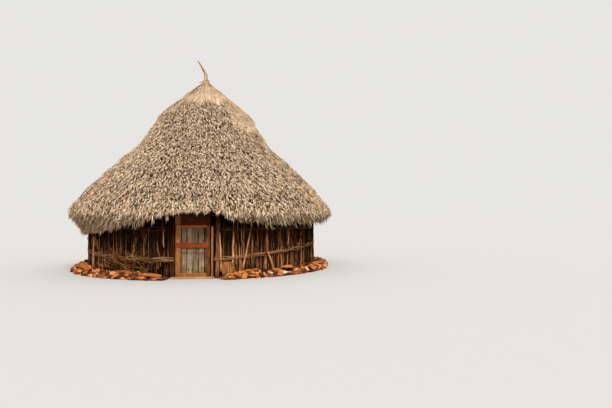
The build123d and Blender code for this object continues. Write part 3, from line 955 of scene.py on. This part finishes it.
def withy_ring(radius, height, thickness, climb, lift):
    """A strand round the wall with a gap at the door.

    Climb tilts it up towards the back. With lift it also rises to the right, and its ends bend
    outwards over the side posts.
    """
    bpy.ops.mesh.primitive_torus_add(
        major_radius=radius, minor_radius=thickness, major_segments=180, minor_segments=6,
        location=(0, 0, height),
    )
    ring = bpy.context.object
    ring.name = "strand"
    settle(ring)
    slope = Matrix(((1, 0, 0, 0), (0, 1, 0, 0), (0, climb, 1, climb * radius), (0, 0, 0, 1)))
    ring.data.transform(slope)
    pick(ring, "vertices", lambda vertex: abs(vertex.co.x) < DOOR_GAP and vertex.co.y < 0)
    bpy.ops.mesh.delete(type="VERT")
    bpy.ops.mesh.select_all(action="SELECT")
    bpy.ops.mesh.fill_holes(sides=12)
    bpy.ops.object.mode_set(mode="OBJECT")
    for vertex in ring.data.vertices:
        vertex.co.z += lift * max(0.0, vertex.co.x - 0.5)
        if lift and vertex.co.y < 0 and abs(vertex.co.x) < BEND_WIDTH:
            vertex.co.y -= BEND
        if lift and vertex.co.y < 0 and abs(vertex.co.x) < END_WIDTH:
            vertex.co.x = RIGHT_END if vertex.co.x > 0 else LEFT_END
            vertex.co.y -= BEND
    turn = radius * 40  # turned while it is roughened, so that each strand gets other knots
    ring.data.transform(Matrix.Rotation(turn, 4, "Z"))
    modify(ring, "DISPLACE", texture=knots, strength=0.09, direction="Z", texture_coords="LOCAL")
    modify(ring, "DISPLACE", texture=knots, strength=0.016, texture_coords="LOCAL")
    ring.data.transform(Matrix.Rotation(-turn, 4, "Z"))
    only(ring)
    bpy.ops.object.shade_smooth()
    set_tone(ring, random.random())
    return ring


print("a strand is cut open over", 2 * DOOR_GAP, "m")

# %% Binding withies
# Radius, height, thickness, climb and lift of each strand
OUTER_STRANDS = (
    (3.400, 0.436, 0.019, 0.05, 0.06),
    (3.404, 0.472, 0.015, 0.05, 0.06),
    (3.392, 0.505, 0.010, 0.05, 0.06),
    (3.396, 1.205, 0.018, 0.0, 0.0),
    (3.390, 1.250, 0.014, 0.0, 0.0),
)
INNER_STRANDS = ((3.278, 0.512, 0.012, 0.05, 0.0), (3.278, 1.236, 0.012, 0.0, 0.0))
for name, strands, node in (
    ("outer_withies", OUTER_STRANDS, "outer_binders"),
    ("inner_withies", INNER_STRANDS, "inner_binders"),
):
    binder = joined([withy_ring(*strand) for strand in strands], name)
    dress(binder, withy, "withies", node)
    print(name, len(strands), "strands")

# %% [markdown]
# ## The door
#
# The leaf is six old boards behind two stiles and three rails. A board is a cube, stretched,
# bevelled, because no edge on a hand-cut board is sharp, then subdivided and roughened by a weak
# displacement. The CAD sizes are kept, but for the middle rail, which hangs a little askew.

# %% A hand-cut board
warp = bpy.data.textures.new("board_warp", "CLOUDS")
warp.noise_scale = 0.25


def board(name, low, high, tone, bevel=0.004):
    """A hand-cut board between two corners."""
    low, high = Vector(low), Vector(high)
    bpy.ops.mesh.primitive_cube_add(size=1, location=(low + high) / 2)
    piece = bpy.context.object
    piece.name = name
    piece.scale = high - low
    settle(piece)
    modify(piece, "BEVEL", width=bevel, segments=2)
    only(piece)
    bpy.ops.object.mode_set(mode="EDIT")
    bpy.ops.mesh.select_all(action="SELECT")
    bpy.ops.mesh.subdivide(number_cuts=3)
    bpy.ops.object.mode_set(mode="OBJECT")
    modify(piece, "DISPLACE", texture=warp, strength=0.004, texture_coords="LOCAL")
    only(piece)
    bpy.ops.object.shade_smooth_by_angle(angle=math.radians(40))
    set_tone(piece, tone)
    return piece


print("boards are roughened by", warp.name)

# %% Planks and stiles
PLANK_TONES = (0.12, 0.55, 0.72, 0.42, 0.60, 0.10)
leaf_low, leaf_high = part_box("door_planks")
plank_width = (leaf_high.x - leaf_low.x + 0.003) / len(PLANK_TONES)
planks = []
for number, tone in enumerate(PLANK_TONES):
    left = leaf_low.x + number * plank_width
    right = leaf_low.x + (number + 1) * plank_width - random.uniform(0.010, 0.020)
    front = leaf_low.y + 0.004 * (number % 2)
    planks.append(board("plank", (left, front, leaf_low.z), (right, leaf_high.y, leaf_high.z), tone))
door_planks = joined(planks, "leaf_boards")
left_stile = board("leaf_stile_left", *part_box("door_stile_left"), 0.6)
right_stile = board("leaf_stile_right", *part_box("door_stile_right"), 0.05)

print("planks:", len(planks), "each", round(plank_width, 3), "m wide")

# %% Rails
RAIL_MIDDLE = 0.825  # metres up, where the middle rail is turned
rails_low, rails_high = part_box("door_rails")
middle_rail = board(
    "rail", (-0.41, rails_low.y - 0.012, 0.765), (rails_high.x, rails_high.y - 0.008, 0.885), 0.35
)
middle_rail.data.transform(
    Matrix.Translation((0, 0, RAIL_MIDDLE))
    @ Matrix.Rotation(math.radians(1.3), 4, "Y")
    @ Matrix.Translation((0, 0, -RAIL_MIDDLE))
)
top_rail = board("rail", (rails_low.x, rails_low.y, 1.258), rails_high, 0.8)
rails = joined([middle_rail, top_rail], "leaf_rails")
bottom_top = (rails_high.x, rails_high.y, rails_low.z + 0.115)
bottom_rail = board("leaf_bottom_rail", rails_low, bottom_top, 0.45)
for piece, finish, slot, replaced in (
    (door_planks, grey_board, "weathered_planks", ["door_planks"]),
    (left_stile, orange_board, "door_stiles", ["door_stile_left"]),
    (right_stile, orange_board, "door_stiles", ["door_stile_right"]),
    (rails, red_board, "red_boards", ["door_rails"]),
    (bottom_rail, orange_board, "door_stiles", []),
):
    dress(piece, finish, slot, *replaced, body="door_leaf")
print("door leaf:", tuple(leaf_low), tuple(leaf_high))

# %% [markdown]
# ## Door frame
#
# The frame is as rough as the leaf. A short orange board fills the left end over the door, and a
# dark red one the rest. The left post is a bundle of sticks, thin in front and thick behind. The
# right one is a narrow board before a black one, whose black is painted shade, so that a dark
# line shows on either side of it, and a rough round post stands beyond. They are made in the
# same way as the boards and the sticks before, at the places of the CAD posts.

# %% Lintel, threshold and head board
for node, finish, tone in (("lintel", post_wood, 0.5), ("threshold", step_wood, 0.6)):
    piece = board("frame_" + node, *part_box(node), tone, bevel=0.008)
    dress(piece, finish, "wall_timber", node)

head_low, head_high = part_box("head_board")
head = board("frame_head_board", (-0.303, head_low.y, head_low.z), head_high, 0.3, bevel=0.008)
head_post = board("frame_head_post", head_low, (-0.306, head_high.y, head_high.z), 0.4, bevel=0.006)
dress(head, head_red, "red_boards", "head_board")
dress(head_post, orange_board, "door_stiles")
print("head board:", tuple(head_low), tuple(head_high))

# %% Door posts
left_low, left_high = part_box("door_post_left")
side_sticks = []
for x, y, wide, tone in (
    (left_low.x + 0.020, left_low.y + 0.026, 0.60, 0.3),
    (left_low.x + 0.055, left_low.y + 0.022, 0.55, 0.5),
    (left_high.x - 0.022, left_low.y + 0.030, 0.60, 0.2),
    (left_low.x + 0.033, left_low.y + 0.062, 1.0, 0.1),
    (left_high.x - 0.030, left_low.y + 0.070, 1.0, 0.1),
):
    place = Matrix.Translation((x, y, 0)) @ Matrix.Diagonal((wide, wide, 0.925, 1))
    side_sticks.append(
        copied(random.choice(thick_patterns), place @ Matrix.Rotation(x * 90, 4, "Z"), tone)
    )
left_post = joined(side_sticks, "door_side_sticks")
dress(left_post, bark, "wall_timber", "door_post_left")

right_low, right_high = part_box("door_post_right")
right_post = board(
    "door_jamb",
    (right_low.x + 0.020, right_low.y, right_low.z),
    (right_low.x + 0.068, right_low.y + 0.055, 1.30),
    0.7, bevel=0.008,
)
# its near-black finish is painted shade, for the dark gap beside the jamb
jamb_back = board(
    "door_jamb_back",
    (right_low.x + 0.002, right_low.y + 0.060, right_low.z),
    (right_high.x + 0.03, right_high.y, right_high.z),
    0.0,
)
dress(right_post, orange_board, "wall_timber", "door_post_right")
dress(jamb_back, back_bark, "wall_timber")
print("door posts:", left_post.name, right_post.name, jamb_back.name)

# %% Rough side post
side_low, side_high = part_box("side_post")
side_middle = (side_low + side_high) / 2
side_steps = []
for n in range(9):
    aside = side_middle.x + 0.022 + random.gauss(0, 0.005)
    side_steps.append((aside, side_middle.y, side_high.z * n / 8))
rough_post = grow_pole("rough_side_post", side_steps, foot=0.048, top=0.044, sides=10, rough=0.05)
set_tone(rough_post, 0.75)
dress(rough_post, post_wood, "wall_timber", "side_post")
print("side post:", tuple(side_low), tuple(side_high))

# %% [markdown]
# ## Poles leant on the wall
#
# A few paler poles lean on the wall, most of them right of the door, where their feet are among
# the stones. None is quite upright, so each is grown from one place on the ring to another. Most
# of the short ones are pieces of pale branch that show higher up.

# %% Poles leant on the wall
def leaning(foot_angle, top_angle, foot_radius, top_radius, low, high, foot, top, tone):
    """A pole from one place on the ring to another."""
    steps = []
    for n in range(8):
        share = n / 7
        angle = math.radians(foot_angle + (top_angle - foot_angle) * share)
        radius = foot_radius + (top_radius - foot_radius) * share
        aside = radius * math.cos(angle) + random.gauss(0, 0.006)
        away = radius * math.sin(angle) + random.gauss(0, 0.006)
        steps.append((aside, away, low + (high - low) * share))
    pole = grow_pole("pole", steps, foot, top, sides=8, rough=0.08)
    set_tone(pole, tone)
    return pole


# Angles, radii and heights of foot and top, thickness at foot and top, tone
POLES = (
    (-78.0, -79.3, 3.382, 3.380, 0.16, 1.50, 0.026, 0.022, 1.2),
    (-73.3, -72.6, 3.380, 3.380, 0.16, 1.56, 0.026, 0.022, 1.15),
    (-69.3, -64.3, 3.47, 3.44, 0.16, 1.50, 0.024, 0.020, 0.75),
    (-64.8, -64.4, 3.44, 3.43, 0.16, 1.50, 0.034, 0.026, 0.2),
    (-57.2, -57.6, 3.44, 3.43, 0.56, 1.54, 0.036, 0.030, 0.45),
    (-54.0, -57.0, 3.47, 3.45, 0.14, 0.62, 0.030, 0.026, 0.8),
    (-44.2, -43.4, 3.41, 3.41, 0.80, 1.30, 0.016, 0.012, 0.9),
    (-102.2, -102.6, 3.41, 3.41, 0.78, 1.35, 0.015, 0.012, 0.9),
    (-102.4, -101.2, 3.41, 3.41, 1.05, 1.38, 0.012, 0.008, 0.8),
    (-146.0, -145.4, 3.42, 3.41, 0.16, 1.00, 0.030, 0.022, 0.9),
)
pole_piece = joined([leaning(*pole) for pole in POLES], "leaning_poles")
dress(pole_piece, pale_wood, "pale_wood", "prop_poles")
print("leaning poles:", len(POLES))

# %% [markdown]
# ## Patch board
#
# One board patches the wall right beside the door frame. It is made lying flat at the origin, and
# then turned and moved to its place on the ring, as the sticks are.

# %% Patch board
patch_low, patch_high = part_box("patch_board")
patch = board("patching_board", (-0.114, -0.009, 0.07), (0.150, 0.009, patch_high.z - 0.04), 0.5)
beside_frame = stand(WALL_START + 5.0, 3.398)  # 5 degrees on from the start of the wall
patch.data.transform(beside_frame @ Matrix.Rotation(math.radians(90), 4, "Z"))
dress(patch, pale_wood, "pale_wood", "patch_board")
print("patch board:", tuple(patch_low), tuple(patch_high))

# %% [markdown]
# ## Dry branches at the foot of the wall
#
# A tangle of thin dry branches lies on the bank at the left. A few crooked twigs are copied many
# times, leaning so far to either side that they cross each other.

# %% Dry branches at the foot of the wall
TWIGS = 180
twig_patterns = [
    grow_pole(f"twig_{n}", wandering(0.6, 5, 0.026), foot=0.0065, top=0.003, sides=4, rough=0.1)
    for n in range(6)
]
twigs = []
for _ in range(TWIGS):
    twigs.append(
        copied(
            random.choice(twig_patterns),
            stand(
                random.uniform(-134, -106), random.uniform(3.40, 3.50),
                lean=random.choice((-1, 1)) * random.uniform(35, 92), tip=random.uniform(-4, 8),
                turn=random.uniform(0, ANY_TURN), height=random.uniform(0.14, 0.48),
                stretch=random.uniform(0.4, 0.9),
            ),
            random.choice((0.1, 0.4, 0.8, 1.0)),
        )
    )
brush = joined(twigs, "dry_branches")
dress(brush, bark, "wall_sticks")
discard(twig_patterns)
print("dry branches:", TWIGS)

# %% [markdown]
# ## Stones
#
# Rubble is piled against the foot of the wall. A rock can be made from a sphere by cutting
# slices off it: each cut leaves a flat broken face. Ten rocks are enough, turned and sized
# differently. They lie on a bank of the same red earth, coloured dark brown to near black:
# partly its own colour, partly painted shade in the gaps between them.

# %% Stone and earth finishes
stone = Finish("rubble", roughness=0.95)
stone_tone = stone.tone()
stone_spots = stone.noise(7.0, detail=4)
stone_dust = stone.noise(1.1, detail=2)
stone.colour(
    stone.ramp(
        stone_tone * 0.74 + stone_spots * 0.7 + stone_dust * 0.3 - 0.48,
        (0.05, (0.040, 0.012, 0.005)),
        (0.30, (0.28, 0.080, 0.022)),
        (0.60, (0.66, 0.225, 0.058)),
        (1.0, (0.86, 0.58, 0.36)),
    )
)
stone.bump(stone.noise(40, detail=5), 0.6, 0.012)
earth = Finish("bank_earth", roughness=1.0)
# painted shade in part: the earth is coloured near black so that the gaps between the stones read as
# shadow
earth.colour(
    earth.ramp(earth.noise(12, detail=5), (0.3, (0.020, 0.007, 0.003)), (0.7, (0.13, 0.046, 0.017)))
)
earth.bump(earth.noise(30, detail=5), 0.8, 0.02)

print("stone finishes:", stone.material.name, earth.material.name)

# %% Rocks
ROCKS = 10
CUTS = 11
rocks = bpy.data.collections.new("rocks")
for number in range(ROCKS):
    bpy.ops.mesh.primitive_ico_sphere_add(subdivisions=2, radius=0.1)
    rock = bpy.context.object
    rock.name = f"rock_{number}"
    bpy.ops.object.mode_set(mode="EDIT")
    for _ in range(CUTS):
        bpy.ops.mesh.select_all(action="SELECT")
        away = Vector((random.gauss(0, 1), random.gauss(0, 1), random.gauss(0, 1))).normalized()
        bpy.ops.mesh.bisect(
            plane_co=away * random.uniform(0.045, 0.08), plane_no=away, use_fill=True, clear_outer=True
        )
    bpy.ops.mesh.select_all(action="SELECT")
    bpy.ops.transform.resize(value=(1.25, 0.95, random.uniform(0.45, 0.75)), center_override=(0, 0, 0))
    bpy.ops.object.mode_set(mode="OBJECT")
    settle(rock)
    set_tone(rock, (number + 0.5) / ROCKS)
    put_away(rock, rocks)
    print(rock.name, len(rock.data.polygons), "faces")

# %% [markdown]
# ## Stone banks
#
# Each CAD bank becomes a heap of earth: its copy is fused, pressed down, most of all beside the
# door, and roughened. Stones are then scattered over it in the way of the tufts. A heap could
# also be dropped stone by stone with physics, but it would hardly lie on the CAD bank.

# %% Stone banks
heaps = bpy.data.textures.new("heaps", "CLOUDS")
heaps.noise_scale = 0.5
TAPER_START, TAPER_SPAN = 8, 14  # degrees from the door's middle
LEAST_HEIGHT = 0.35


def above_ground(piece):
    """Move what is under the ground up to it."""
    for vertex in piece.data.vertices:
        vertex.co.z = max(vertex.co.z, 0.001)


# Side, gap between stones, share of the CAD bank's height
BANKS = (("right", 0.10, 0.70), ("left", 0.105, 0.60), ("back", 0.108, 0.75))
for number, (side, gap, share) in enumerate(BANKS):
    bank = copied(nodes["stone_bank_" + side], Matrix())
    bank.name = "earth_bank_" + side
    fused(bank, voxel=0.06, soften=0.5)
    for vertex in bank.data.vertices:
        from_door = abs(math.degrees(math.atan2(vertex.co.y, vertex.co.x)) + 90)
        vertex.co.z *= share * min(1.0, max(LEAST_HEIGHT, (from_door - TAPER_START) / TAPER_SPAN))
    modify(
        bank, "DISPLACE", texture=heaps, strength=0.12, direction="Z", mid_level=0.6,
        texture_coords="LOCAL",
    )
    stones = scattered(
        "stones_" + side, bank, rocks, gap, 50 + number, outward=-0.4,
        sway=(0.35, 0.35, 3.14), sizes=(0.45, 0.95),
    )
    above_ground(bank)
    above_ground(stones)
    dress(bank, earth, "rubble_stone", "stone_bank_" + side)
    dress(stones, stone, "rubble_stone")

# %% [markdown]
# ## Larger stones
#
# A few bigger stones are set one by one: a flat slab left of the door, a pale block on the right
# and a heap at the far left. Each is one of the rocks again, stretched to its own size. Small
# ones that have rolled down lie along the foot of the bank.

# %% Larger stones
LOW_STONES = 90
# Angle, radius, height, length, width, thickness, tone
BIG_STONES = (
    (-105.2, 3.70, 0.110, 0.52, 0.34, 0.10, 0.62), (-103.4, 3.74, 0.03, 0.32, 0.24, 0.08, 0.55),
    (-108.8, 3.74, 0.04, 0.34, 0.22, 0.10, 0.70), (-112.5, 3.70, 0.05, 0.30, 0.24, 0.12, 0.10),
    (-117.0, 3.72, 0.03, 0.36, 0.24, 0.07, 0.35), (-122.0, 3.68, 0.05, 0.30, 0.22, 0.10, 0.15),
    (-128.0, 3.70, 0.04, 0.33, 0.24, 0.08, 0.40), (-119.5, 3.78, 0.03, 0.42, 0.20, 0.06, 0.22),
    (-125.0, 3.78, 0.03, 0.36, 0.22, 0.07, 0.48), (-131.5, 3.76, 0.05, 0.40, 0.22, 0.08, 0.20),
    (-114.8, 3.66, 0.13, 0.30, 0.20, 0.07, 0.55), (-110.8, 3.64, 0.14, 0.26, 0.20, 0.06, 0.35),
    (-49.6, 3.70, 0.225, 0.56, 0.30, 0.06, 0.74), (-52.8, 3.80, 0.09, 0.26, 0.20, 0.12, 1.30),
    (-50.0, 3.72, 0.13, 0.40, 0.26, 0.14, -0.40), (-48.0, 3.78, 0.09, 0.30, 0.24, 0.12, 0.60),
    (-54.8, 3.76, 0.11, 0.28, 0.24, 0.16, 0.66), (-60.5, 3.76, 0.06, 0.30, 0.24, 0.10, 0.60),
    (-66.0, 3.76, 0.07, 0.44, 0.24, 0.08, 0.66), (-141.5, 3.66, 0.16, 0.34, 0.30, 0.20, 0.45),
    (-144.5, 3.70, 0.24, 0.30, 0.26, 0.16, 0.60), (-146.5, 3.68, 0.10, 0.36, 0.30, 0.18, 0.50),
    (-139.0, 3.72, 0.07, 0.34, 0.26, 0.13, 0.62), (-149.0, 3.68, 0.18, 0.28, 0.26, 0.14, 0.40),
    (-136.0, 3.72, 0.05, 0.30, 0.24, 0.11, 0.30), (-76.5, 3.66, 0.03, 0.36, 0.26, 0.07, 0.52),
    (-72.6, 3.66, 0.09, 0.30, 0.22, 0.09, 0.62), (-70.0, 3.62, 0.15, 0.28, 0.20, 0.08, 0.70),
    (-66.5, 3.62, 0.17, 0.34, 0.20, 0.07, 0.50),
)
blocks = []
for number, (angle, radius, height, long, wide, tall, tone) in enumerate(BIG_STONES):
    source = rocks.objects[number % ROCKS]
    size = source.dimensions
    block = copied(
        source,
        stand(angle, radius, height=height)
        @ Matrix.Rotation(math.radians(90 + random.uniform(-12, 12)), 4, "Z")
        @ Matrix.Diagonal((long / size.x, wide / size.y, tall / size.z, 1)),
        tone,
    )
    blocks.append(block)
for _ in range(LOW_STONES):
    low_stone = copied(
        random.choice(list(rocks.objects)),
        stand(
            random.choice((random.uniform(-147, -102), random.uniform(-78, -22))),
            random.uniform(3.72, 3.82),
            height=random.uniform(0.02, 0.05), turn=random.uniform(0, ANY_TURN),
        )
        @ Matrix.Scale(random.uniform(0.45, 0.85), 4),
        random.uniform(0.15, 0.8),
    )
    blocks.append(low_stone)
for block in blocks:
    above_ground(block)
hand_stones = joined(blocks, "hand_set_stones")
dress(hand_stones, stone, "rubble_stone")
print("stones set by hand:", len(BIG_STONES) + LOW_STONES)

# %% [markdown]
# ## Finial
#
# The tip of the roof is a bundle of long straw. Its stems are drawn together over the cap, tied
# with rope, and bent over to the left above the tie. A single bent cone would do from far away,
# but separate strands, some of which end early, give it the loose edge of straw.

# %% Finial
gold_straw = wood_finish("gold_straw", (0.22, 0.12, 0.05), (0.55, 0.37, 0.19), (0.80, 0.60, 0.37))
STRANDS = 44
GOLDEN_ANGLE = 137.5  # degrees; it spreads any number of strands evenly round
# Middle and radius of the bundle, from the cap up
SPINE = (
    (0, 0, 5.60, 0.30), (0, 0, 5.72, 0.17), (-0.004, 0, 5.81, 0.080),
    (-0.016, 0, 5.90, 0.050), (-0.014, 0, 6.04, 0.046), (-0.062, 0, 6.14, 0.042),
    (-0.118, 0, 6.25, 0.036), (-0.190, 0, 6.37, 0.027), (-0.260, 0, 6.475, 0.014),
)
strands = []
for number in range(STRANDS):
    turn = math.radians(number * GOLDEN_ANGLE)
    off = random.uniform(0.75, 1.0)
    reach = random.choice((4, 5, 6, 8, 9, 9))
    path = []
    for k, (x, y, z, wide) in enumerate(SPINE[:reach]):
        side = turn + max(0, k - 2) * 0.3
        path.append((x + off * wide * math.cos(side), y + off * wide * math.sin(side), z))
    strand = grow_pole("strand", path, foot=0.014, top=0.010, sides=5)
    set_tone(strand, random.random())
    strands.append(strand)
LOOSE_END = [(0, 0, 5.87), (-0.05, -0.02, 5.86), (-0.10, -0.03, 5.83)]
strands.append(grow_pole("strand", LOOSE_END, foot=0.016, top=0.005, sides=5))
finial = joined(strands, "straw_finial")
dress(finial, gold_straw, "finial_straw", "finial")
print("strands in the finial:", len(strands))

# %% [markdown]
# ## The tie
#
# A few turns of grass rope hold the straw at the apex. Four thin rings, each a little tilted,
# read as one rope wound round.

# %% The tie
rope = Finish("grass_rope", roughness=0.9)
rope.colour(rope.ramp(rope.noise(60), (0.3, (0.26, 0.15, 0.07)), (0.7, (0.60, 0.42, 0.23))))
ROPE_TURNS = 4
tie_low, tie_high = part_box("apex_binding")
turns = []
for number in range(ROPE_TURNS):
    bpy.ops.mesh.primitive_torus_add(
        major_radius=0.080 - 0.006 * number, minor_radius=0.011, major_segments=24, minor_segments=6,
        location=(0, 0, tie_low.z + 0.012 + 0.017 * number),
        rotation=(random.gauss(0, 0.06), random.gauss(0, 0.06), 0),
    )
    turns.append(bpy.context.object)
    settle(turns[-1])
tie = joined(turns, "apex_rope")
bpy.ops.object.shade_smooth()
dress(tie, rope, "grass_rope", "apex_binding")
print("the tie:", tuple(tie_low), tuple(tie_high))

# %% [markdown]
# ## Finishes for what the CAD model already shapes
#
# The hinges, the centre post, the rafters, the hoops and the wall plate are plain pieces on a
# real hut too. Their CAD shapes stay, and only a finish goes on them. The patterns that were
# copied from are removed here, because nothing needs them any more.

# %% Finishes for what the CAD model already shapes
iron = Finish("hinge_iron", roughness=0.6)
iron.colour(iron.ramp(iron.noise(30), (0.3, (0.10, 0.04, 0.02)), (0.7, (0.16, 0.13, 0.12))))
for finish, names in (
    (iron, ("hinge_leaf_plates", "hinge_post_plates")),
    (pole_bark, ("centre_post", "main_rafters", "jack_rafters", "wall_plate")),
    (withy, ("roof_hoops",)),
):
    finish.coat(*[nodes[name] for name in names])
    print(finish.material.name, "on", names)
discard(stick_patterns + thick_patterns)
for collection in (*TUFTS, rocks):
    discard(list(collection.objects))

# %% [markdown]
# ## Floor and light
#
# The floor and the lights only show the hut, and are no part of it. A pale floor gives a clean
# picture, but the real ground throws warm light up under the eave. A Light Path node gives both:
# the camera sees the pale colour, and the bounced light takes the brown one. The sun is high
# behind the camera, and wide, because a hazy sky softens its shadows.

# %% Floor and light
bpy.ops.mesh.primitive_plane_add(size=160, location=(0, 0, 0))
floor = bpy.context.object
floor.name = "floor"
floor_finish = Finish("floor", roughness=1.0)
seen_directly = floor_finish.node("ShaderNodeLightPath", output="Is Camera Ray")
floor_finish.colour(floor_finish.mix(seen_directly, (0.32, 0.255, 0.20), (0.55, 0.535, 0.51)))
floor_finish.coat(floor)

bpy.ops.object.light_add(
    type="SUN", location=(2, -12, 16), rotation=(math.radians(38), 0, math.radians(8))
)
sun = bpy.context.object
sun.data.energy = 2.7
sun.data.angle = math.radians(25)

world = bpy.data.worlds.new("studio")
bpy.context.scene.world = world
world.use_nodes = True
background = world.node_tree.nodes["Background"]
background.inputs["Color"].default_value = (1.0, 0.99, 0.97, 1)
background.inputs["Strength"].default_value = 0.8
bpy.context.scene.view_settings.view_transform = "Standard"
print("sun:", sun.data.energy, "sky:", background.inputs["Strength"].default_value)
